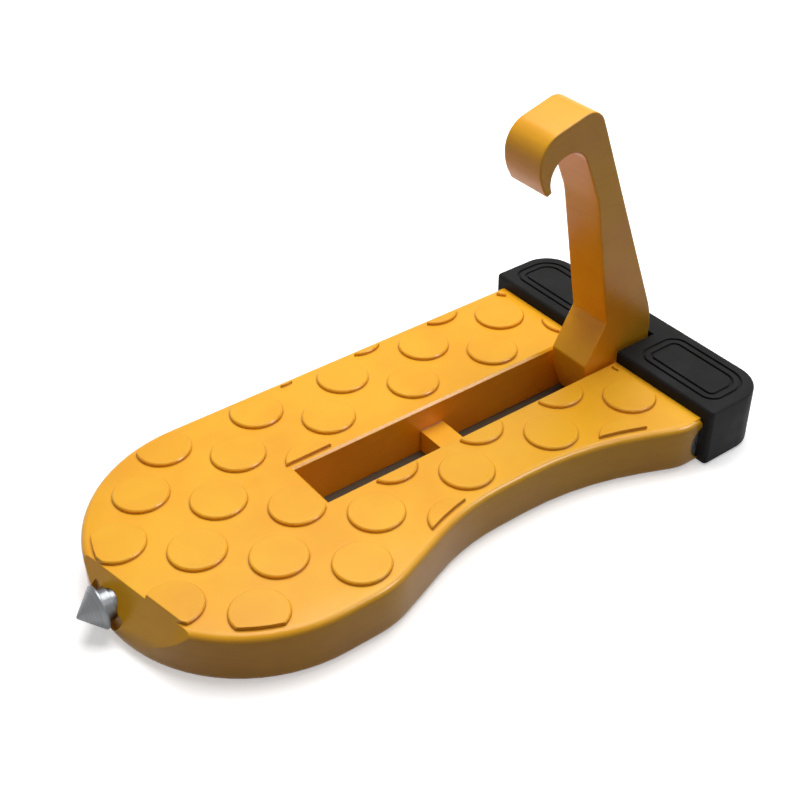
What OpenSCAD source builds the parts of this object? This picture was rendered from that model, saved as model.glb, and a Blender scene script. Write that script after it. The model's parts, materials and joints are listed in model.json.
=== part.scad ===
// Folding step that hangs on a car's door latch. A foot shaped cast pedal with round grip
// studs, a slot through its middle with a cross bar, a hook that stands up from the heel and
// folds down into the slot, a rubber pad round the heel, and a steel breaker point at the toe.
// X runs from toe to heel, Y across the pedal, and Z up from the sole. The origin is on the
// sole's plane, under the middle of the whole step.

/* [Pedal] */
// Width of the pedal at the ball of the foot and at the heel
pedal_w = 75; // [68:1:84]
// Height of the pedal from the sole to the tread
pedal_t = 13; // [11:0.5:16]
// Reach of the toe beyond the slot
toe_reach = 53; // [51:0.5:60]
// Width of the straight stretch at the tip of the toe
toe_flat = 1; // [0.5:0.5:12]
// Length of the slope at the tip of the toe, along the tread
tip_slope_l = 4; // [2:0.1:5]
// Drop of that slope below the tread
tip_slope_drop = 8; // [5:0.1:9]
// Turn of that slope towards the near side
tip_slope_turn = 11; // [0:1:15]
// Depth of the waist in the side of the pedal
waist_depth = 10.3; // [6:0.1:12]
// Distance from the slot's toe end to where the waist starts to cut in
waist_start = -3.3; // [-6:0.1:2]
// Distance from the slot's toe end to where the waist reaches its depth
waist_deep_start = 23.4; // [18:0.1:28]
// Distance from the slot's toe end to where the waist starts to swell again
waist_deep_end = 58.5; // [52:0.1:62]
// Distance from the slot's toe end to where the waist ends
waist_end = 82.5; // [78:0.1:85]
// Radius of the pedal's upper edge
upper_edge_r = 1.6; // [0.8:0.1:2.4]
// Radius of the pedal's lower edge
lower_edge_r = 2; // [0.5:0.1:2.4]

/* [Tread] */
// Radius of a grip stud
stud_r = 6.5; // [4:0.1:7]
// Height of a grip stud above the tread
stud_h = 0.9; // [0.5:0.1:1.5]
// Width of the bevel round a stud
stud_bevel = 0.3; // [0.1:0.05:0.45]
// Stud spacing along a row that runs towards the near side
stud_row_pitch = 17.85; // [16:0.05:22]
// Stud spacing from one row to the next
stud_column_pitch = 16.3; // [15:0.05:22]
// Angle of a row, from the X axis
stud_row_turn = -43.7; // [-50:0.1:-40]
// Angle of the step to the next row, from the X axis
stud_column_turn = 43.4; // [40:0.1:50]
// Place of the first stud, along X from the slot's toe end
first_stud_x = -32.5; // [-36:0.1:-28]
// Place of the first stud, across from the slot's middle
first_stud_y = 20.1; // [16:0.1:24]
// Bare rim left round the edge of the tread
stud_rim = 2.4; // [1.7:0.1:4]
// Bare rim left round the slot
stud_slot_rim = 1.5; // [0.7:0.1:3]

/* [Slot] */
// Width of the slot
slot_w = 14; // [13.6:0.1:18]
// Bevel along the slot's upper edges
slot_bevel = 0.6; // [0.3:0.1:1]
// Distance from the slot's toe end to the cross bar
bar_start = 36.7; // [33:0.1:40]
// Length of the cross bar along the slot
bar_l = 6.9; // [5:0.1:9]
// Depth of the cross bar's top below the tread
bar_drop = 6.8; // [6.4:0.1:8]

/* [Casting] */
// Thickness of the tread plate
plate_t = 4; // [3:0.1:5.5]
// Thickness of the outer wall
outer_wall_t = 3.4; // [2.5:0.1:4.5]
// Thickness of the walls beside the slot
slot_wall_t = 3.2; // [2.5:0.1:4.5]
// Thickness of a rib
rib_t = 2.2; // [1.5:0.1:3]
// Distance from one rib to the next
rib_pitch = 16.6; // [14:0.1:18]
// Height of the ribs' lower edges above the sole
rib_lift = 2; // [1:0.1:4]

/* [Hinge] */
// Distance from the slot's toe end to the hinge pin
hinge_x = 90.6; // [88:0.1:94]
// Height of the hinge pin above the sole
hinge_z = 6; // [5.8:0.1:6.6]
// Radius of the hinge pin
pin_r = 3.5; // [3:0.1:3.6]
// Radius of the hinge pin's head
pin_head_r = 5.2; // [4.9:0.1:5.3]
// Thickness of the hinge pin's head
pin_head_t = 1.5; // [1:0.1:2.5]
// Thickness of a friction washer
washer_t = 0.7; // [0.4:0.1:0.8]
// Width of a friction washer's ring
washer_ring_w = 1.6; // [1:0.1:1.7]

/* [Hook] */
// Width of the hook arm
hook_w = 12.2; // [10:0.1:12.2]
// Radius of the round heel of the hook, about the pin
heel_r = 10.4; // [9:0.1:11]
// Radius of the hook's throat, which takes the latch's striker
throat_r = 5.5; // [4.5:0.1:6]
// Height of the throat's middle above the pin
throat_rise = 65.5; // [60:0.1:75]
// Distance of the throat's middle from the pin, towards the toe
throat_lean = 22.4; // [21:0.1:24]
// Thickness of the hook's nose beside the throat
nose_t = 3.5; // [3:0.1:5]
// Thickness of the hook over the throat, to its upper corner
crown_t = 9.4; // [8:0.1:11]
// Drop of the crown from its upper corner to its brow
brow_drop = 4.7; // [3:0.1:6]
// Thickness of the nose at its tip
tip_t = 1.7; // [1.2:0.1:2.5]
// Distance from the throat's middle to the hook's upper corner, towards the heel
back_t = 8; // [7:0.1:8.5]
// Height above the pin where the upright heel starts to lean
heel_rise = 16.2; // [14:0.1:19]
// Height above the pin of the bend in the hook's front
front_bend_rise = 55; // [50:0.1:56]
// Distance of that bend from the throat's middle, towards the heel
front_bend_reach = 10.2; // [9.8:0.1:12]
// Height above the pin of the notch where the root meets the arm
root_rise = 19.3; // [17:0.1:22]
// Thickness of the arm at that notch
neck_t = 16.2; // [14:0.1:18]
// Reach of the root in front of the pin
root_reach = 11.9; // [10:0.1:13]
// Reach of the root's bottom in front of the pin
bottom_reach = 8; // [7:0.1:9]
// Height of the root's front ridge above the tread
ridge_rise = 1.6; // [0.5:0.1:3]

/* [Bumper] */
// Width that the heel of the casting loses under the rubber, on each side
heel_step = 0.9; // [0.6:0.1:1.5]
// Distance from the hinge pin to the front of the rubber, towards the toe
rubber_lead = 2.2; // [1:0.1:3]
// Length of the casting's overlap with its heel, ahead of the rubber
heel_root_l = 2; // [1:0.1:4]
// Length of the solid metal round the pin, ahead of the rubber
hinge_land_l = 10.4; // [8:0.1:12]
// Thickness of the metal behind the slot
heel_wall_t = 2.8; // [2.2:0.1:4]
// Thickness of the rubber behind the heel
rubber_back_t = 4.5; // [3:0.1:5]
// Thickness of the rubber at the sides
rubber_side_t = 3.3; // [2:0.1:4]
// Thickness of the rubber over the tread
rubber_top_t = 3.2; // [2.4:0.1:6]
// Thickness of the rubber under the heel
rubber_sole_t = 1.4; // [1:0.1:1.8]
// Radius of the rubber's rear corners
rubber_corner_r = 8.5; // [5:0.5:10]
// Radius of the rubber's upper and lower edges
rubber_edge_r = 1; // [0.6:0.1:2.5]
// Width of each groove that frames a pad
groove_w = 0.8; // [0.5:0.1:1]
// Depth of a groove
groove_d = 0.5; // [0.3:0.1:1]
// Width of the ridge between a pad's two grooves
ridge_w = 1.3; // [0.8:0.1:1.6]
// Width of the border outside the grooves
pad_border = 2.8; // [2.5:0.1:3.2]
// Depth of the catch that holds the rubber on the heel
catch_d = 1; // [0.6:0.1:1.5]

/* [Breaker point] */
// Radius of the cone's base
cone_r = 5.05; // [4:0.05:5.5]
// Length of the cone
cone_l = 5.4; // [4:0.1:8]
// Height of the point above the sole
cone_z = 7; // [6.6:0.1:7.4]
// Radius of the threaded stud behind the cone
thread_r = 3; // [2:0.1:3.5]
// Radius of the shoulder that seats the point
shoulder_r = 3.7; // [3.6:0.1:4.4]
// Gap between the cone and the toe that the shoulder leaves
shoulder_l = 2.2; // [1.7:0.1:4]
// Length of the thread in the toe
thread_l = 9; // [7:0.1:12]
// Radius of the round seat cut in the toe
seat_r = 6; // [5.6:0.1:6.4]
// Depth of that seat
seat_d = 1.5; // [0.7:0.1:1.6]

/* [Fits] */
// Room between the hook and each friction washer
washer_gap = 0.1; // [0.05:0.05:0.3]
// Room round the pin in the hook's bore
pin_running_gap = 0.05; // [0.03:0.01:0.08]
// Room round the pin and the thread where they are held
held_gap = 0.03; // [0.02:0.01:0.05]
// Room between the upright hook and the end of the slot
stop_gap = 0.1; // [0.05:0.05:0.3]
// Room between the hook's bottom and the sole's plane
root_lift = 0.4; // [0.2:0.1:1]
// Room between the hook's back and the rubber
rubber_gap = 0.5; // [0.3:0.1:1]

/* [Hidden] */
$fn = 96;
// Degrees from one point of a round to the next
arc_step = 5;
// Length by which a cut runs past a face
cut = 1;
// Depth by which one cut runs into the next
overlap = 0.01;
// Sine of the smallest bend that counts as a corner
least_bend = 0.001;

heel_back = hinge_x + heel_r;
rubber_start = hinge_x - rubber_lead;
slot_l = heel_back + stop_gap;
casting_end = slot_l + heel_wall_t;
rubber_end = casting_end + rubber_back_t;
heel_half_w = pedal_w / 2 - heel_step;
rubber_half_w = heel_half_w + rubber_side_t;
cone_tip = -toe_reach + seat_d - shoulder_l - cone_l;
middle_x = (cone_tip + rubber_end) / 2;
toe_r = (pedal_w - toe_flat) / 2;

// Rounds along the waist, from the toe to the heel
waist_in_r = 26;
waist_bend_r = 55;
waist_swell_r = 80;
waist_out_r = 12;
// Turn of the two slanted ribs of the toe
toe_rib_turn = 20;

// Rounds along the hook's outline, from the heel over the head to the root
hook_back_r = 25;
crown_r = 5;
brow_r = 7;
nose_r = 12;
tip_r = 0.6;
front_bend_r = 20;
root_edge_r = 1.5;
root_front_r = 12;
// Places on the throat's round where the nose ends and where the arm's front begins
nose_end_angle = 207;
arm_start_angle = 24;
// Height of the nose's fullest point above the throat's middle
nose_rise = 1.6;
// How far the front of the root leans back, and its depth below the tread
root_lean = 0.6;
root_depth = 4.5;

// Smallest round that is left inside a rounded edge
least_round = 0.2;
// Rounds of the rubber's front edges, and of a pad's outer groove
rubber_front_r = rubber_edge_r + least_round;
pad_corner_r = 4.2;
pad_end_r = 6.2;
// Distance from the notch to a pad's outer groove
pad_start = 3.4;

// Bevels of the turned parts
pin_bevel = 0.6;
cone_bevel = 0.5;
cone_tip_r = 0.35;

// Stud places on the slanted grid: each row, its first place and its last
stud_rows = [[-2, 1, 2], [-1, 0, 3], [0, 0, 4], [1, 0, 4], [2, 1, 6], [3, 1, 7], [4, 2, 6],
             [5, 3, 5], [6, 4, 4]];
// Places that the slot swallows
lost_studs = [[2, 3], [3, 4], [4, 5]];

pedal_corners = [
    [rubber_start, -pedal_w / 2, 0],
    [rubber_start, pedal_w / 2, 0],
    [-toe_reach, pedal_w / 2, toe_r],
    [-toe_reach, -pedal_w / 2, toe_r],
    [waist_start, -pedal_w / 2, waist_in_r],
    [waist_deep_start, -pedal_w / 2 + waist_depth, waist_bend_r],
    [waist_deep_end, -pedal_w / 2 + waist_depth, waist_swell_r],
    [waist_end, -pedal_w / 2, waist_out_r]
];

// Unit vector from a to b
function towards(a, b) = (b - a) / norm(b - a);
// Vector v turned left by a quarter turn
function left_of(v) = [-v[1], v[0]];
// How far vector a must turn left to reach b, as a signed area
function turn(a, b) = a[0] * b[1] - a[1] * b[0];
function flat(c) = [c[0], c[1]];
// Unit vector at an angle from the X axis
function round_place(angle) = [cos(angle), sin(angle)];
function corner(c, k) = flat(c[(k + len(c)) % len(c)]);

// Corner k of an outline whose edges are all moved in by inset
function moved_corner(c, k, inset) =
    let (d = towards(corner(c, k - 1), corner(c, k)),
         e = towards(corner(c, k), corner(c, k + 1)),
         p = corner(c, k) + inset * left_of(d),
         q = corner(c, k) + inset * left_of(e),
         bend = turn(d, e))
    abs(bend) < least_bend ? q : p + d * turn(q - p, e) / bend;

// Points of the round at corner k, between its two straight edges
function corner_points(c, k, inset) =
    let (d = towards(corner(c, k - 1), corner(c, k)),
         e = towards(corner(c, k), corner(c, k + 1)),
         side = sign(turn(d, e)),
         angle = acos(max(-1, min(1, d * e))),
         r = c[k][2] == 0 ? 0 : c[k][2] - side * inset,
         place = moved_corner(c, k, inset),
         start = place - d * r * tan(angle / 2),
         middle = start + side * r * left_of(d),
         steps = ceil(angle / arc_step))
    c[k][2] == 0 ? [place] :
    [for (i = [0:steps])
        let (a = side * angle * i / steps, v = start - middle)
        middle + [v[0] * cos(a) - v[1] * sin(a), v[0] * sin(a) + v[1] * cos(a)]];

// Counter-clockwise outline of corners [x, y, radius], moved in by inset
function rounded(c, inset = 0) = [for (k = [0:len(c) - 1]) each corner_points(c, k, inset)];

// Solid whose upper and lower edges are rounded, from an outline, a height and a hub, which is
// a point that sees the whole outline
module soft_slab(c, height, lower_r, upper_r, hub, steps = 5) {
    levels = concat(
        [for (i = [0:steps]) let (a = 90 * i / steps)
            [lower_r * (1 - sin(a)), lower_r * (1 - cos(a))]],
        [for (i = [0:steps]) let (a = 90 * i / steps)
            [upper_r * (1 - cos(a)), height - upper_r * (1 - sin(a))]]);
    rings = [for (l = levels) [for (p = rounded(c, l[0])) [p[0], p[1], l[1]]]];
    n = len(rings[0]);
    top = len(rings) - 1;
    hubs = [[hub[0], hub[1], 0], [hub[0], hub[1], height]];
    low_hub = (top + 1) * n;
    polyhedron(
        points = concat([for (ring = rings) each ring], hubs),
        faces = concat(
            [for (i = [0:n - 1]) [low_hub, i, (i + 1) % n]],
            [for (r = [0:top - 1], i = [0:n - 1])
                [r * n + i, (r + 1) * n + i, (r + 1) * n + (i + 1) % n, r * n + (i + 1) % n]],
            [for (i = [0:n - 1]) [low_hub + 1, top * n + (i + 1) % n, top * n + i]]),
        convexity = 8);
}

// Everything is drawn from the slot's toe end and then centred on the origin
module centred() {
    translate([-middle_x, 0, 0]) children();
}

// Cylinder across the step, from one Y to another, at the hinge
module hinge_cylinder(r, from_y, to_y) {
    translate([hinge_x, to_y, hinge_z])
        rotate([90, 0, 0]) cylinder(r = r, h = to_y - from_y);
}

// Strip of the slot's width, from one X to another and one Z to another
module slot_block(from_x, to_x, from_z, to_z, width = slot_w) {
    translate([from_x, -width / 2, from_z]) cube([to_x - from_x, width, to_z - from_z]);
}

// Side view of the wedge that bevels two opposite edges of the slot
function bevel_side(from, to) = [
    [from + cut, pedal_t - slot_bevel - cut], [to - cut, pedal_t - slot_bevel - cut],
    [to + slot_bevel + cut, pedal_t + cut], [from - slot_bevel - cut, pedal_t + cut]];

// Wedge that bevels the slot's upper edges all round
module slot_bevels() {
    intersection() {
        translate([-slot_w, 0, 0]) rotate([90, 0, 90])
            linear_extrude(slot_l + 2 * slot_w) polygon(bevel_side(-slot_w / 2, slot_w / 2));
        translate([0, slot_w, 0]) rotate([90, 0, 0])
            linear_extrude(2 * slot_w) polygon(bevel_side(0, slot_l));
    }
}

// Wedge above the slope at the tip of the toe
module tip_slope() {
    run = tip_slope_l / tip_slope_drop;
    low_z = pedal_t - tip_slope_drop;
    translate([-toe_reach, 0, 0]) rotate([90, 0, tip_slope_turn])
        translate([0, 0, -pedal_w]) linear_extrude(2 * pedal_w) polygon([
            [-pedal_t * run, low_z - pedal_t],
            [tip_slope_l + pedal_t * run, 2 * pedal_t],
            [-pedal_t * run, 2 * pedal_t]]);
}

module stud() {
    cylinder(r = stud_r, h = stud_h - stud_bevel);
    translate([0, 0, stud_h - stud_bevel])
        cylinder(r1 = stud_r, r2 = stud_r - stud_bevel, h = stud_bevel);
}

// Round studs on a slanted grid, trimmed at the rim, the slot and the rubber
module studs() {
    row = stud_row_pitch * round_place(stud_row_turn);
    column = stud_column_pitch * round_place(stud_column_turn);
    intersection() {
        union() {
            for (r = stud_rows, i = [r[1]:r[2]]) {
                place = [first_stud_x, first_stud_y] + i * row + r[0] * column;
                if (len([for (l = lost_studs) if (l == [r[0], i]) l]) == 0) {
                    translate([place[0], place[1], pedal_t]) stud();
                }
            }
        }
        translate([0, 0, pedal_t]) linear_extrude(stud_h) difference() {
            polygon(rounded(pedal_corners, stud_rim));
            translate([-stud_slot_rim, -slot_w / 2 - stud_slot_rim])
                square([casting_end, slot_w + 2 * stud_slot_rim]);
            translate([rubber_start - stop_gap, -pedal_w / 2]) square(pedal_w);
        }
    }
}

// Stretch of the heel that the rubber slides over
module heel_block() {
    corner_r = rubber_corner_r - rubber_side_t;
    corners = [
        [rubber_start - heel_root_l, -heel_half_w, 0], [casting_end, -heel_half_w, corner_r],
        [casting_end, heel_half_w, corner_r], [rubber_start - heel_root_l, heel_half_w, 0]];
    translate([0, 0, rubber_sole_t])
        linear_extrude(pedal_t - rubber_sole_t) polygon(rounded(corners));
}

// Groove across the top of the heel, or the rib of rubber that sits in it
module catch(half_w) {
    translate([(rubber_start + slot_l) / 2, -half_w, pedal_t - catch_d])
        cube([2 * catch_d, 2 * half_w, catch_d]);
}

// Hollow of the casting, seen from below, without its ribs
module hollow_outline() {
    difference() {
        polygon(rounded(pedal_corners, outer_wall_t));
        translate([-slot_wall_t, -slot_w / 2 - slot_wall_t])
            square([slot_l + slot_wall_t, slot_w + 2 * slot_wall_t]);
        translate([rubber_start - hinge_land_l, -pedal_w / 2]) square(pedal_w);
        translate([-toe_reach, -seat_r]) square([thread_l + outer_wall_t + seat_d, 2 * seat_r]);
    }
}

// Cross ribs, one rib down the middle of the toe and the fan beside it
module rib_lines() {
    rib_count = floor((rubber_start + toe_reach) / rib_pitch);
    for (i = [1:rib_count]) {
        translate([rubber_start - hinge_land_l - i * rib_pitch, -pedal_w / 2])
            square([rib_t, pedal_w]);
    }
    translate([-toe_reach, -rib_t / 2]) square([toe_reach, rib_t]);
    for (s = [-1, 1]) {
        translate([0, s * (slot_w / 2 + slot_wall_t - rib_t / 2)])
            rotate(180 - s * toe_rib_turn) translate([0, -rib_t / 2]) square([toe_reach, rib_t]);
    }
}

module pedal() {
    color("#fdb840") centred() difference() {
        union() {
            difference() {
                union() {
                    soft_slab(pedal_corners, pedal_t, lower_edge_r, upper_edge_r, [bar_start, 0]);
                    heel_block();
                }
                translate([0, 0, -cut]) linear_extrude(rib_lift + cut) hollow_outline();
                translate([0, 0, rib_lift - overlap]) linear_extrude(pedal_t - plate_t - rib_lift)
                    difference() {
                        hollow_outline();
                        rib_lines();
                    }
                slot_block(0, slot_l, -cut, pedal_t + cut);
                slot_bevels();
            }
            slot_block(bar_start, bar_start + bar_l, 0, pedal_t - bar_drop, slot_w + slot_wall_t);
            studs();
        }
        tip_slope();
        hinge_cylinder(pin_r + held_gap, -pedal_w, pedal_w);
        hinge_cylinder(pin_head_r + held_gap, -pedal_w, -heel_half_w + pin_head_t);
        catch(heel_half_w + cut);
        translate([-toe_reach - cut, 0, cone_z]) rotate([0, 90, 0])
            cylinder(r = seat_r, h = cut + seat_d);
        translate([-toe_reach, 0, cone_z]) rotate([0, 90, 0])
            cylinder(r = thread_r + held_gap, h = seat_d + thread_l + held_gap);
    }
}

// Side view of the hook, with the hinge pin at the origin
module hook_profile() {
    throat = [-throat_lean, throat_rise];
    tread_z = pedal_t - hinge_z;
    bottom = root_lift - hinge_z;
    nose_x = -throat_lean - throat_r - nose_t;
    head_z = throat_rise + throat_r + crown_t;
    corners = [
        [-bottom_reach, bottom, root_edge_r],
        [heel_r, bottom, 0],
        [heel_r, heel_rise, hook_back_r],
        [back_t - throat_lean, head_z, crown_r],
        [nose_x, head_z - brow_drop, brow_r],
        [nose_x, throat_rise + nose_rise, nose_r],
        [each throat + (throat_r + tip_t) * round_place(nose_end_angle), tip_r],
        [throat[0], throat[1], 0],
        [each throat + throat_r * round_place(arm_start_angle), 0],
        [front_bend_reach - throat_lean, front_bend_rise, front_bend_r],
        [heel_r - neck_t, root_rise, root_edge_r],
        [-root_reach, tread_z + ridge_rise, root_edge_r],
        [root_lean - root_reach, tread_z - root_depth, root_front_r]
    ];
    difference() {
        polygon(rounded(corners));
        translate(throat) circle(r = throat_r);
        circle(r = pin_r + pin_running_gap);
        // The heel is round below the pin
        difference() {
            translate([0, bottom - cut]) square([2 * heel_r, -bottom + cut]);
            circle(r = heel_r);
        }
    }
}

module hook_arm() {
    color("#f2a830") centred() translate([hinge_x, hook_w / 2, hinge_z])
        rotate([90, 0, 0]) linear_extrude(hook_w) hook_profile();
}

module hinge_pin() {
    color("#c8c9cb") centred() {
        hinge_cylinder(pin_head_r, -heel_half_w, -heel_half_w + pin_head_t);
        hinge_cylinder(pin_r, -heel_half_w + pin_head_t, heel_half_w - pin_bevel);
        translate([hinge_x, heel_half_w - pin_bevel, hinge_z]) rotate([-90, 0, 0])
            cylinder(r1 = pin_r, r2 = pin_r - pin_bevel, h = pin_bevel);
    }
}

// Thin ring on the pin between the hook and a wall of the slot
module friction_washer(side) {
    inner_y = hook_w / 2 + washer_gap;
    from_y = side > 0 ? inner_y : -inner_y - washer_t;
    difference() {
        hinge_cylinder(pin_r + held_gap + washer_ring_w, from_y, from_y + washer_t);
        hinge_cylinder(pin_r + held_gap, from_y - cut, from_y + washer_t + cut);
    }
}

module near_friction_washer() {
    color("#e8e4d8") centred() friction_washer(-1);
}

module far_friction_washer() {
    color("#e8e4d8") centred() friction_washer(1);
}

// The two ring grooves that frame the pad on one side of the notch
module pad_grooves(side) {
    near_y = slot_w / 2 + rubber_gap + pad_start;
    far_y = rubber_half_w - pad_border;
    from_x = rubber_start + pad_border;
    to_x = rubber_end - pad_border;
    corners = [
        [from_x, near_y, pad_corner_r], [to_x, near_y, pad_corner_r],
        [to_x, far_y, pad_end_r], [from_x, far_y, pad_corner_r]];
    mirror([0, side < 0 ? 1 : 0, 0])
        translate([0, 0, pedal_t + rubber_top_t - groove_d]) linear_extrude(groove_d + cut)
            for (inset = [0, groove_w + ridge_w]) {
                difference() {
                    polygon(rounded(corners, inset));
                    polygon(rounded(corners, inset + groove_w));
                }
            }
}

module heel_bumper() {
    outer = [
        [rubber_start, -rubber_half_w, rubber_front_r],
        [rubber_end, -rubber_half_w, rubber_corner_r],
        [rubber_end, rubber_half_w, rubber_corner_r],
        [rubber_start, rubber_half_w, rubber_front_r]];
    color("#262626") centred() {
        difference() {
            soft_slab(outer, pedal_t + rubber_top_t, rubber_edge_r, rubber_edge_r, [slot_l, 0]);
            heel_block();
            hinge_cylinder(pin_head_r + held_gap, -heel_half_w - held_gap,
                -heel_half_w + pin_head_t + held_gap);
            slot_block(rubber_start - cut, heel_back + rubber_gap, -cut,
                pedal_t + rubber_top_t + cut, slot_w + 2 * rubber_gap);
            pad_grooves(-1);
            pad_grooves(1);
        }
        difference() {
            catch(heel_half_w);
            slot_block(rubber_start - cut, casting_end, 0, pedal_t + cut, slot_w + 2 * rubber_gap);
        }
    }
}

// Turned steel point: blunt cone, shoulder and threaded stud
module breaker_point() {
    color("#8f9296") centred() translate([cone_tip, 0, cone_z]) rotate([0, 90, 0])
        rotate_extrude() polygon([
            [0, 0], [cone_tip_r, cone_tip_r / 2], [cone_r, cone_l - cone_bevel], [cone_r, cone_l],
            [shoulder_r, cone_l], [shoulder_r, cone_l + shoulder_l],
            [thread_r, cone_l + shoulder_l], [thread_r, cone_l + shoulder_l + thread_l],
            [0, cone_l + shoulder_l + thread_l]]);
}

pedal();
hook_arm();
hinge_pin();
near_friction_washer();
far_friction_washer();
heel_bumper();
breaker_point();
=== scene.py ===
# Dresses the folding door step: coated casting, hook, rubber heel pad and turned steel parts.
import json
import math

import bmesh
import bpy
from mathutils import Matrix, Vector

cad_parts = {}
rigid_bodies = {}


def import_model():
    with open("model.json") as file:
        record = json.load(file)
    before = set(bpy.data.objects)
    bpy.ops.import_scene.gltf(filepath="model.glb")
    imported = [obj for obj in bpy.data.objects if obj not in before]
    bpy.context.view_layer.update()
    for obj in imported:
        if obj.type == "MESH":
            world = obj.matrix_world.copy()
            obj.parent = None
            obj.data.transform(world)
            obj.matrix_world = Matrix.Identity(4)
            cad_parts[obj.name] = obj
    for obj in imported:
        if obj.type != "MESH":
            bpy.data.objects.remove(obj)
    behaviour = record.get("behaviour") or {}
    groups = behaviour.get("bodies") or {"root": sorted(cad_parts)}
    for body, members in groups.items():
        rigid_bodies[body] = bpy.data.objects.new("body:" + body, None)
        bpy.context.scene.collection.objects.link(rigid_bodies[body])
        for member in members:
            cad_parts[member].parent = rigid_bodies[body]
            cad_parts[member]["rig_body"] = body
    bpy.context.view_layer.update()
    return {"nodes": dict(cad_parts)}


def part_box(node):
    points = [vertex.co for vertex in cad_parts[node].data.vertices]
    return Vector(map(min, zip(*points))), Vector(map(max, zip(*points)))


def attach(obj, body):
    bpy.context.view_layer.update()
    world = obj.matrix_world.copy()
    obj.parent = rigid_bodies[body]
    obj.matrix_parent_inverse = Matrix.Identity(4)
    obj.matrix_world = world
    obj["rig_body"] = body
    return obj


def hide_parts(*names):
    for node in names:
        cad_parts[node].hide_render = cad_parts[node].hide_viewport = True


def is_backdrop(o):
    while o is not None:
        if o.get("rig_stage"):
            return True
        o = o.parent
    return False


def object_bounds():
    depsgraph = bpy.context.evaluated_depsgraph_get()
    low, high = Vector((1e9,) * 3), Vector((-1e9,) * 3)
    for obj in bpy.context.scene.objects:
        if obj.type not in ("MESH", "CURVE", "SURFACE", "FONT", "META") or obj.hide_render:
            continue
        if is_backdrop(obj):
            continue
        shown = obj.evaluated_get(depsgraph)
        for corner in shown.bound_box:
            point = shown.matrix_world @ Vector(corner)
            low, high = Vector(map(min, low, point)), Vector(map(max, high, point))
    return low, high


mm = 0.001
edgeSamples = 6            # rays that look for an edge or a corner at each point
noiseSpread = (0.3, 0.7)   # nearly all values of a noise texture lie between these

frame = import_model()
print("frame loaded:", len(frame["nodes"]), "pieces")


# small helpers

def linearColour(hexColour):
    # sRGB hex to the linear colour that the shaders take
    parts = [int(hexColour[i:i + 2], 16) / 255 for i in (1, 3, 5)]
    return tuple(p / 12.92 if p <= 0.04045 else ((p + 0.055) / 1.055) ** 2.4
                 for p in parts) + (1.0,)


def newMaterial(name):
    material = bpy.data.materials.new(name)
    material.use_nodes = True
    tree = material.node_tree
    tree.nodes.clear()
    output = tree.nodes.new("ShaderNodeOutputMaterial")
    return material, tree, output


def addNode(tree, kind, settings=None, inputs=None, links=None):
    # settings are the node's own properties, inputs are fixed values and links come from sockets
    node = tree.nodes.new(kind)
    for key, value in (settings or {}).items():
        setattr(node, key, value)
    for key, value in (inputs or {}).items():
        node.inputs[key].default_value = value
    for key, socket in (links or {}).items():
        tree.links.new(socket, node.inputs[key])
    return node


def perMetre(sizeInMm):
    # noise scale whose blobs are about that size
    return 1 / (sizeInMm * mm)


# materials

satinCoat = {
    "colour": "#FDB923",
    "shade": "#F9AD1D",
    "patchSize": 24,            # mm, slow drift of the colour
    "patchFade": (0.35, 0.6),   # noise values between which the shade gives way to the colour
    "streak": (22, 22, 1.1),    # mm, linishing marks of the casting, level on every side
    "streakTint": "#E79A22",
    "streakFade": (0.5, 0.75),  # noise values between which the marks come in
    "streakShare": 0.2,
    "paintedCornerShade": "#93550C",        # painted shade, darkening the coat in its corners
    "paintedCornerReach": 1.2,         # mm from the corner
    "paintedCornerFade": (0.35, 0.8),  # openness of the corner where the painted shade is full and where it ends
    "paintedCornerShare": 0.75,
    "peelSize": 1.6,            # mm, orange peel of the sprayed coat
    "grainSize": 0.35,          # mm, the coat's grain, drawn coarse enough to show
    "roughness": (0.27, 0.36),
    "ior": 1.5,
    "shine": 0.3,               # specular level, low because the coat is satin
    "peelDepth": 0.022,         # mm
    "grainDepth": 0.004,        # mm
    "edgeRound": 0.3,           # mm
}


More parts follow.
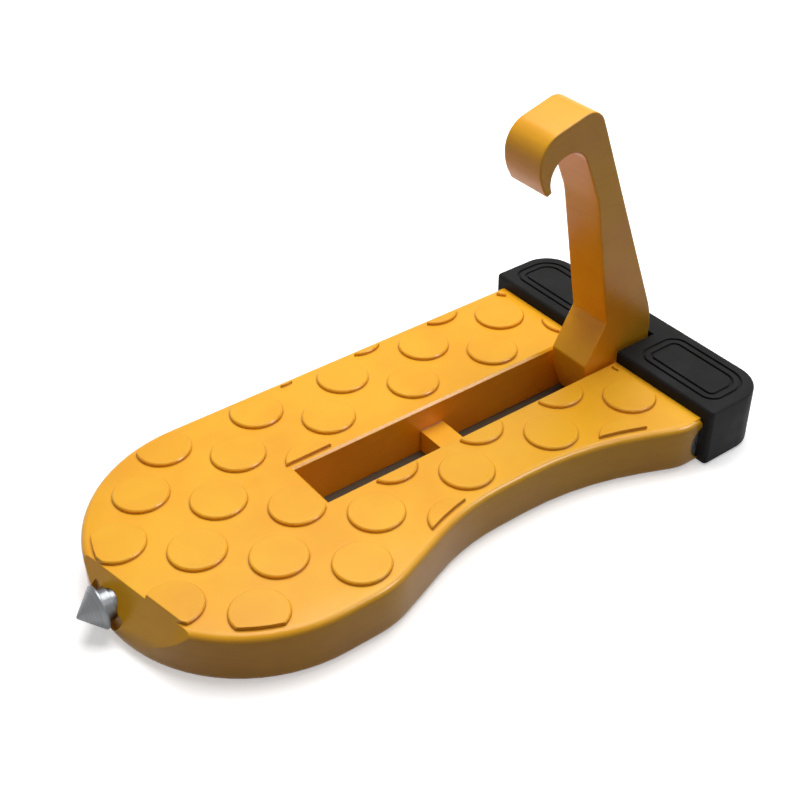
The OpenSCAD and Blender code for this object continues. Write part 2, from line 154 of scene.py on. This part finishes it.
def satinCoatOnCasting(name, s):
    # Satin stoving enamel sprayed on die-cast aluminium: an even warm yellow with soft wide
    # highlights, a slight orange peel, faint level marks from the linishing under it, edges that
    # the coat has rounded, and a painted shade that darkens its corners.
    material, tree, output = newMaterial(name)
    place = addNode(tree, "ShaderNodeTexCoord").outputs["Object"]
    patches = addNode(tree, "ShaderNodeTexNoise", links={"Vector": place}, inputs={
        "Scale": perMetre(s["patchSize"]), "Detail": 3.0, "Roughness": 0.6}).outputs["Fac"]
    stretched = addNode(tree, "ShaderNodeMapping", links={"Vector": place}, inputs={
        "Scale": tuple(perMetre(size) for size in s["streak"])}).outputs["Vector"]
    streaks = addNode(tree, "ShaderNodeTexNoise", links={"Vector": stretched}, inputs={
        "Scale": 1.0, "Detail": 3.0, "Distortion": 0.4}).outputs["Fac"]
    peel = addNode(tree, "ShaderNodeTexNoise", links={"Vector": place}, inputs={
        "Scale": perMetre(s["peelSize"]), "Detail": 1.0}).outputs["Fac"]
    grain = addNode(tree, "ShaderNodeTexNoise", links={"Vector": place}, inputs={
        "Scale": perMetre(s["grainSize"]), "Detail": 2.0}).outputs["Fac"]
    start, end = s["patchFade"]
    drift = addNode(tree, "ShaderNodeMapRange", links={"Value": patches}, inputs={
        "From Min": start, "From Max": end}).outputs["Result"]
    colour = addNode(tree, "ShaderNodeMix", {"data_type": "RGBA"}, links={0: drift}, inputs={
        6: linearColour(s["shade"]), 7: linearColour(s["colour"])}).outputs[2]
    start, end = s["streakFade"]
    marked = addNode(tree, "ShaderNodeMapRange", links={"Value": streaks}, inputs={
        "From Min": start, "From Max": end, "To Max": s["streakShare"]}).outputs["Result"]
    colour = addNode(tree, "ShaderNodeMix", {"data_type": "RGBA"}, links={0: marked, 6: colour},
                     inputs={7: linearColour(s["streakTint"])}).outputs[2]
    # Painted shade: the coat is darkened towards its shut corners and creases
    openness = addNode(tree, "ShaderNodeAmbientOcclusion",
                       {"samples": edgeSamples, "only_local": True},
                       {"Distance": s["paintedCornerReach"] * mm}).outputs["AO"]
    shut, free = s["paintedCornerFade"]
    paintedCornerShade = addNode(tree, "ShaderNodeMapRange", links={"Value": openness}, inputs={
        "From Min": shut, "From Max": free, "To Min": s["paintedCornerShare"],
        "To Max": 0.0}).outputs["Result"]
    colour = addNode(tree, "ShaderNodeMix", {"data_type": "RGBA"}, links={0: paintedCornerShade, 6: colour},
                     inputs={7: linearColour(s["paintedCornerShade"])}).outputs[2]
    least, most = noiseSpread
    smooth, dull = s["roughness"]
    rough = addNode(tree, "ShaderNodeMapRange", links={"Value": patches}, inputs={
        "From Min": least, "From Max": most, "To Min": smooth,
        "To Max": dull}).outputs["Result"]
    soft = addNode(tree, "ShaderNodeBevel", {"samples": edgeSamples},
                   {"Radius": s["edgeRound"] * mm}).outputs["Normal"]
    waves = addNode(tree, "ShaderNodeBump", links={"Height": peel, "Normal": soft}, inputs={
        "Distance": s["peelDepth"] * mm, "Strength": 1.0}).outputs["Normal"]
    bumps = addNode(tree, "ShaderNodeBump", links={"Height": grain, "Normal": waves}, inputs={
        "Distance": s["grainDepth"] * mm, "Strength": 1.0}).outputs["Normal"]
    shader = addNode(tree, "ShaderNodeBsdfPrincipled", inputs={
        "IOR": s["ior"], "Specular IOR Level": s["shine"]}, links={
        "Base Color": colour, "Roughness": rough, "Normal": bumps})
    tree.links.new(shader.outputs["BSDF"], output.inputs["Surface"])
    return material


mouldedRubber = {
    "colour": "#0E0D0C",
    "bloom": "#161515",         # the pale bloom that rubber gets on its skin
    "patchSize": 14,            # mm
    "patchFade": (0.4, 0.75),   # noise values between which the bloom comes in
    "grainSize": 0.5,           # mm, spark eroded mould, drawn coarse enough to show
    "grainDepth": 0.012,        # mm
    "roughness": (0.55, 0.7),
    "ior": 1.52,
    "shine": 0.12,              # specular level
    "edgeRound": 0.3,           # mm
}


def mouldedBlackRubber(name, s):
    # Compression moulded rubber: near black, matt, with a faint bloom and a fine mould grain.
    material, tree, output = newMaterial(name)
    place = addNode(tree, "ShaderNodeTexCoord").outputs["Object"]
    patches = addNode(tree, "ShaderNodeTexNoise", links={"Vector": place}, inputs={
        "Scale": perMetre(s["patchSize"]), "Detail": 4.0, "Roughness": 0.65}).outputs["Fac"]
    grain = addNode(tree, "ShaderNodeTexNoise", links={"Vector": place}, inputs={
        "Scale": perMetre(s["grainSize"]), "Detail": 2.0}).outputs["Fac"]
    start, end = s["patchFade"]
    bloomed = addNode(tree, "ShaderNodeMapRange", links={"Value": patches}, inputs={
        "From Min": start, "From Max": end}).outputs["Result"]
    colour = addNode(tree, "ShaderNodeMix", {"data_type": "RGBA"}, links={0: bloomed}, inputs={
        6: linearColour(s["colour"]), 7: linearColour(s["bloom"])}).outputs[2]
    least, most = noiseSpread
    smooth, dull = s["roughness"]
    rough = addNode(tree, "ShaderNodeMapRange", links={"Value": patches}, inputs={
        "From Min": least, "From Max": most, "To Min": dull,
        "To Max": smooth}).outputs["Result"]
    soft = addNode(tree, "ShaderNodeBevel", {"samples": edgeSamples},
                   {"Radius": s["edgeRound"] * mm}).outputs["Normal"]
    bumps = addNode(tree, "ShaderNodeBump", links={"Height": grain, "Normal": soft}, inputs={
        "Distance": s["grainDepth"] * mm, "Strength": 1.0}).outputs["Normal"]
    shader = addNode(tree, "ShaderNodeBsdfPrincipled", inputs={
        "IOR": s["ior"], "Specular IOR Level": s["shine"]}, links={
        "Base Color": colour, "Roughness": rough, "Normal": bumps})
    tree.links.new(shader.outputs["BSDF"], output.inputs["Surface"])
    return material


turnedSteel = {
    "colour": "#77797B",
    "shade": "#6C6E70",
    "feed": 0.6,                # mm, spacing of the tool marks, drawn coarse enough to show
    "markFade": (0.3, 0.65),    # noise values between which the shade gives way to the colour
    "markDepth": 0.0004,        # mm
    "roughness": (0.26, 0.34),
    "edgeRound": 0.15,          # mm
}


def turnedBareSteel(name, s, along, middle):
    # Turned free-cutting steel: grey metal whose fine rings run round the axis.
    material, tree, output = newMaterial(name)
    place = addNode(tree, "ShaderNodeTexCoord").outputs["Object"]
    # distance from the axis and along it, so that the marks run round on cones and faces alike
    moved = addNode(tree, "ShaderNodeVectorMath", {"operation": "SUBTRACT"},
                    links={0: place}, inputs={1: middle}).outputs["Vector"]
    split = addNode(tree, "ShaderNodeSeparateXYZ", links={"Vector": moved}).outputs
    across = [axis for axis in "XYZ" if axis != along]
    flat = addNode(tree, "ShaderNodeCombineXYZ", links={
        "X": split[across[0]], "Y": split[across[1]]}).outputs["Vector"]
    radius = addNode(tree, "ShaderNodeVectorMath", {"operation": "LENGTH"},
                     links={0: flat}).outputs["Value"]
    travel = addNode(tree, "ShaderNodeMath", {"operation": "ADD"},
                     links={0: radius, 1: split[along]}).outputs["Value"]
    marks = addNode(tree, "ShaderNodeTexNoise", {"noise_dimensions": "1D"}, links={"W": travel},
                    inputs={"Scale": perMetre(s["feed"]), "Detail": 2.0}).outputs["Fac"]
    start, end = s["markFade"]
    worn = addNode(tree, "ShaderNodeMapRange", links={"Value": marks}, inputs={
        "From Min": start, "From Max": end}).outputs["Result"]
    colour = addNode(tree, "ShaderNodeMix", {"data_type": "RGBA"}, links={0: worn}, inputs={
        6: linearColour(s["shade"]), 7: linearColour(s["colour"])}).outputs[2]
    least, most = noiseSpread
    smooth, dull = s["roughness"]
    rough = addNode(tree, "ShaderNodeMapRange", links={"Value": marks}, inputs={
        "From Min": least, "From Max": most, "To Min": dull,
        "To Max": smooth}).outputs["Result"]
    soft = addNode(tree, "ShaderNodeBevel", {"samples": edgeSamples},
                   {"Radius": s["edgeRound"] * mm}).outputs["Normal"]
    bumps = addNode(tree, "ShaderNodeBump", links={"Height": marks, "Normal": soft}, inputs={
        "Distance": s["markDepth"] * mm, "Strength": 1.0}).outputs["Normal"]
    shader = addNode(tree, "ShaderNodeBsdfPrincipled", inputs={"Metallic": 1.0}, links={
        "Base Color": colour, "Roughness": rough, "Normal": bumps})
    tree.links.new(shader.outputs["BSDF"], output.inputs["Surface"])
    return material


mouldedNylon = {
    "colour": "#E9E4D4",
    "shade": "#DDD6C2",
    "patchSize": 3,             # mm
    "patchFade": (0.35, 0.65),  # noise values between which the shade gives way to the colour
    "roughness": 0.45,
    "ior": 1.53,
    "waxiness": 0.2,            # share of the light that goes under the skin
    "waxDepth": 1,              # mm, how far light wanders under the skin
}


def mouldedNaturalNylon(name, s):
    # Moulded natural nylon: creamy, slightly waxy and a little translucent.
    material, tree, output = newMaterial(name)
    place = addNode(tree, "ShaderNodeTexCoord").outputs["Object"]
    patches = addNode(tree, "ShaderNodeTexNoise", links={"Vector": place}, inputs={
        "Scale": perMetre(s["patchSize"]), "Detail": 2.0}).outputs["Fac"]
    start, end = s["patchFade"]
    drift = addNode(tree, "ShaderNodeMapRange", links={"Value": patches}, inputs={
        "From Min": start, "From Max": end}).outputs["Result"]
    colour = addNode(tree, "ShaderNodeMix", {"data_type": "RGBA"}, links={0: drift}, inputs={
        6: linearColour(s["shade"]), 7: linearColour(s["colour"])}).outputs[2]
    shader = addNode(tree, "ShaderNodeBsdfPrincipled", inputs={
        "IOR": s["ior"], "Roughness": s["roughness"], "Subsurface Weight": s["waxiness"],
        "Subsurface Scale": s["waxDepth"] * mm}, links={"Base Color": colour})
    tree.links.new(shader.outputs["BSDF"], output.inputs["Surface"])
    return material


# pieces

smoothing = {
    "weldDistance": 0.0005,     # mm
    "flatAngle": 0.5,           # degrees, faces closer than this are one face
    "sharpAngle": 28,           # degrees, edges sharper than this stay crisp
    "hookEdge": (0.35, 3),      # mm and steps, the round that the coat gives the hook's edges
}


def smoothCopy(nodeName, pieceName):
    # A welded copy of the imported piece, so that its rounds shade smoothly
    source = frame["nodes"][nodeName]
    mesh = source.data.copy()
    mesh.name = pieceName
    mesh.materials.clear()
    work = bmesh.new()
    work.from_mesh(mesh)
    bmesh.ops.remove_doubles(work, verts=work.verts, dist=smoothing["weldDistance"] * mm)
    bmesh.ops.dissolve_limit(work, angle_limit=math.radians(smoothing["flatAngle"]),
                             verts=work.verts, edges=work.edges)
    for edge in work.edges:
        edge.smooth = (len(edge.link_faces) == 2
                       and edge.calc_face_angle() < math.radians(smoothing["sharpAngle"]))
    for face in work.faces:
        face.smooth = True
    work.to_mesh(mesh)
    work.free()
    piece = bpy.data.objects.new(pieceName, mesh)
    bpy.context.scene.collection.objects.link(piece)
    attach(piece, source["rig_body"])
    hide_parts(nodeName)
    return piece


def softenEdges(piece, width, steps):
    bevel = piece.modifiers.new("softEdges", "BEVEL")
    bevel.width = width * mm
    bevel.segments = steps
    bevel.limit_method = "ANGLE"
    bevel.angle_limit = math.radians(smoothing["sharpAngle"])
    bevel.harden_normals = True


coat = satinCoatOnCasting("satinYellowCoat", satinCoat)
rubber = mouldedBlackRubber("mouldedBlackRubber", mouldedRubber)
nylon = mouldedNaturalNylon("naturalNylon", mouldedNylon)

pedal = smoothCopy("pedal", "pedalCasting")
pedal.data.materials.append(coat)

hook = smoothCopy("hook_arm", "hookCasting")
hook.data.materials.append(coat)
softenEdges(hook, *smoothing["hookEdge"])

bumper = smoothCopy("heel_bumper", "heelRubber")
bumper.data.materials.append(rubber)

# the pin is bright drawn bar, the point is left as it came off the lathe
pinSteel = {**turnedSteel, "colour": "#D2D4D6", "shade": "#BFC2C4"}

for nodeName, pieceName, steel, along in [("hinge_pin", "hingePin", pinSteel, "Y"),
                                          ("breaker_point", "breakerPoint", turnedSteel, "X")]:
    low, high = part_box(nodeName)
    piece = smoothCopy(nodeName, pieceName)
    piece.data.materials.append(
        turnedBareSteel(pieceName + "Steel", steel, along, (low + high) / 2))

for nodeName, pieceName in [("near_friction_washer", "nearWasher"),
                            ("far_friction_washer", "farWasher")]:
    washer = smoothCopy(nodeName, pieceName)
    washer.data.materials.append(nylon)
print("pieces dressed")


# floor, light and camera

studio = {
    "floorSize": 3.0,           # m
    "floorColour": "#FFFFFF",
    "floorBounceAndSlotShade": "#655D50",   # the light that the floor sends back to the step, and the painted shade of the paper under the slot
    "floorGlow": (0.45, 1.0),   # how much the paper glows by the step and far off, to stay white
    "glowReach": (0.2, 0.5),    # m from the middle, where that glow starts to rise and where it ends
    "paintedShadeReach": (12, 18),     # mm from the middle line, where the painted shade under the slot fades out
    "paintedShadeEnds": 15,            # mm, how far that painted shade stops short of the casting's ends
    "skyColour": "#FFFFFF",
    "skyStrength": 0.13,        # where it lights the step, and 1 where it is looked at
}

# each lamp: its place in metres from the middle of the step, the side of its square, its watts,
# and whether it lights the step or only shines along its rounded edges
lamps = {
    "keySoftbox": {"place": (0.17, 0.13, 0.71), "size": 0.56, "power": 5.7, "lights": True},
    "edgeSoftbox": {"place": (0.38, -0.4, 0.54), "size": 0.12, "power": 4.0, "lights": False},
}


def seenRays(tree):
    # 1 for rays that look at a surface, 0 for those that light another
    rays = addNode(tree, "ShaderNodeLightPath").outputs
    seen = addNode(tree, "ShaderNodeMath", {"operation": "MAXIMUM"}, links={
        0: rays["Is Camera Ray"], 1: rays["Is Glossy Ray"]}).outputs["Value"]
    return addNode(tree, "ShaderNodeMath", {"operation": "MAXIMUM"}, links={
        0: seen, 1: rays["Is Transmission Ray"]}).outputs["Value"]


def outsideSlot(tree, place, s):
    # 0 on the floor under the slot, where the paper gets a painted shade, 1 all round it
    low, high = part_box("pedal")
    split = addNode(tree, "ShaderNodeSeparateXYZ", links={"Vector": place}).outputs
    across = addNode(tree, "ShaderNodeMath", {"operation": "ABSOLUTE"},
                     links={0: split["Y"]}).outputs["Value"]
    along = addNode(tree, "ShaderNodeMath", {"operation": "SUBTRACT"}, links={0: split["X"]},
                    inputs={1: (low.x + high.x) / 2}).outputs["Value"]
    along = addNode(tree, "ShaderNodeMath", {"operation": "ABSOLUTE"},
                    links={0: along}).outputs["Value"]
    start, end = (reach * mm for reach in s["paintedShadeReach"])
    beside = addNode(tree, "ShaderNodeMapRange", links={"Value": across}, inputs={
        "From Min": start, "From Max": end}).outputs["Result"]
    edge = (high.x - low.x) / 2 - s["paintedShadeEnds"] * mm
    beyond = addNode(tree, "ShaderNodeMapRange", links={"Value": along}, inputs={
        "From Min": edge, "From Max": edge + end - start}).outputs["Result"]
    return addNode(tree, "ShaderNodeMath", {"operation": "MAXIMUM"},
                   links={0: beside, 1: beyond}).outputs["Value"]


def paleFloor(s):
    mesh = bpy.data.meshes.new("floor")
    half = s["floorSize"] / 2
    mesh.from_pydata([(-half, -half, 0), (half, -half, 0), (half, half, 0), (-half, half, 0)],
                     [], [(0, 1, 2, 3)])
    floor = bpy.data.objects.new("floor", mesh)
    bpy.context.scene.collection.objects.link(floor)
    # White paper: white where it is looked at and greyer where it lights the step, but painted grey
    # as shade under the slot
    material, tree, output = newMaterial("floorPaper")
    place = addNode(tree, "ShaderNodeTexCoord").outputs["Object"]
    openFloor = outsideSlot(tree, place, s)
    # Painted shade: in the slot the paper is shown as grey as it lights the step, and without glow
    seen = addNode(tree, "ShaderNodeMath", {"operation": "MULTIPLY"},
                   links={0: seenRays(tree), 1: openFloor}).outputs["Value"]
    colour = addNode(tree, "ShaderNodeMix", {"data_type": "RGBA"}, links={0: seen}, inputs={
        6: linearColour(s["floorBounceAndSlotShade"]), 7: linearColour(s["floorColour"])}).outputs[2]
    paper = addNode(tree, "ShaderNodeBsdfDiffuse", links={"Color": colour})
    distance = addNode(tree, "ShaderNodeVectorMath", {"operation": "LENGTH"},
                       links={0: place}).outputs["Value"]
    start, end = s["glowReach"]
    near, far = s["floorGlow"]
    glowing = addNode(tree, "ShaderNodeMapRange", links={"Value": distance}, inputs={
        "From Min": start, "From Max": end, "To Min": near, "To Max": far}).outputs["Result"]
    glowing = addNode(tree, "ShaderNodeMath", {"operation": "MULTIPLY"},
                      links={0: seen, 1: glowing}).outputs["Value"]
    glow = addNode(tree, "ShaderNodeEmission", links={"Strength": glowing})
    both = addNode(tree, "ShaderNodeAddShader", links={
        0: paper.outputs["BSDF"], 1: glow.outputs["Emission"]})
    tree.links.new(both.outputs["Shader"], output.inputs["Surface"])
    mesh.materials.append(material)
    floor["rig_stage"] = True


def studioLight(s):
    world = bpy.data.worlds.new("studio")
    bpy.context.scene.world = world
    world.use_nodes = True
    tree = world.node_tree
    tree.nodes.clear()
    output = tree.nodes.new("ShaderNodeOutputWorld")
    strength = addNode(tree, "ShaderNodeMapRange", links={"Value": seenRays(tree)}, inputs={
        "To Min": s["skyStrength"], "To Max": 1.0}).outputs["Result"]
    sky = addNode(tree, "ShaderNodeBackground", inputs={"Color": linearColour(s["skyColour"])},
                  links={"Strength": strength})
    tree.links.new(sky.outputs["Background"], output.inputs["Surface"])


def softbox(name, s):
    light = bpy.data.lights.new(name, "AREA")
    light.shape = "SQUARE"
    light.size = s["size"]
    light.energy = s["power"]
    box = bpy.data.objects.new(name, light)
    bpy.context.scene.collection.objects.link(box)
    box.visible_diffuse = s["lights"]
    box.location = s["place"]
    box.rotation_euler = (-Vector(s["place"])).to_track_quat("-Z", "Y").to_euler()


camera = {
    "place": (-64.57, -156.70, 209.19),   # mm from the pedal's lowest corner
    "azimuth": -36.327,
    "elevation": 37.332,
    "roll": -0.551,
    "lens": 59.16,              # mm, on a sensor of the width below
    "sensorWidth": 36,
    "nearest": 10,              # mm, what is closer isn't drawn
}


def photoCamera(s):
    data = bpy.data.cameras.new("photoCamera")
    data.lens = s["lens"]
    data.sensor_width = s["sensorWidth"]
    data.clip_start = s["nearest"] * mm
    cam = bpy.data.objects.new("photoCamera", data)
    bpy.context.scene.collection.objects.link(cam)
    azimuth, elevation, roll = (math.radians(s[k]) for k in ("azimuth", "elevation", "roll"))
    back = Vector((math.sin(azimuth) * math.cos(elevation),
                   -math.cos(azimuth) * math.cos(elevation), math.sin(elevation)))
    right = Vector((math.cos(azimuth), math.sin(azimuth), 0))
    up = back.cross(right)
    turnedRight = math.cos(roll) * right + math.sin(roll) * up
    turnedUp = -math.sin(roll) * right + math.cos(roll) * up
    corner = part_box("pedal")[0]
    cam.matrix_world = (Matrix.Translation(corner + mm * Vector(s["place"]))
                        @ Matrix((turnedRight, turnedUp, back)).transposed().to_4x4())
    bpy.context.scene.camera = cam


paleFloor(studio)
studioLight(studio)
for name, lamp in lamps.items():
    softbox(name, lamp)
photoCamera(camera)
bpy.context.scene.view_settings.view_transform = "Standard"
print("studio ready")

low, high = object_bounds()
